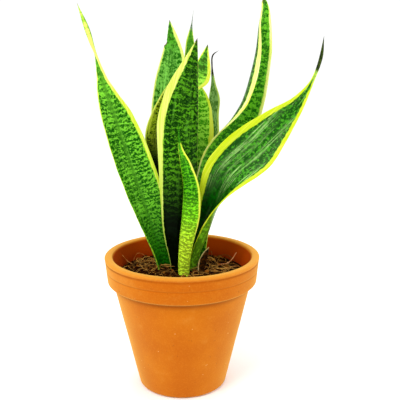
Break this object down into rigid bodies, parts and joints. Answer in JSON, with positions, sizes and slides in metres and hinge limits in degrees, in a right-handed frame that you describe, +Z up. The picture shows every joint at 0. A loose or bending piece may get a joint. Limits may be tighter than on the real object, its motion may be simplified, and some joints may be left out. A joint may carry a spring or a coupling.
{
  "type": "potted snake plant",
  "caption": "Potted snake plant: upright sword-shaped banded leaves with yellow margins rising from soil in a collared round terracotta pot with a drain hole.",
  "frame": {"origin": "middle of the whole plant's bounding box, on the surface that the pot stands on", "axes": "+Z up along the pot's axis, -Y towards the front of the plant, +X to its right"},
  "size_m": [0.1736, 0.115, 0.284],
  "materials": {
    "terracotta": "matte unglazed clay",
    "soil": "rough peaty soil",
    "leaf": "waxy satin, dark cross-bands, yellow margins",
    "pup_leaf": "waxy satin, lime green",
    "rhizome": "matte",
    "dry_matter": "dry, papery",
    "root": "matte fibre"
  },
  "bodies": {
    "root": {"pot": "terracotta", "soil": "soil", "leaf_front_left": "leaf", "leaf_centre": "leaf", "leaf_front_pup": "pup_leaf", "leaf_right": "leaf", "leaf_right_curved": "leaf", "leaf_rear_centre": "leaf", "leaf_rear_left": "leaf", "leaf_rear_spear": "leaf", "leaf_rear_right": "leaf", "leaf_between": "leaf", "rhizome": "rhizome", "dry_sheath": "dry_matter", "bark_chip": "dry_matter", "root_left_straight": "root", "root_left_loop": "root", "root_right_arched": "root", "root_right_low": "root"}
  },
  "joints": []
}
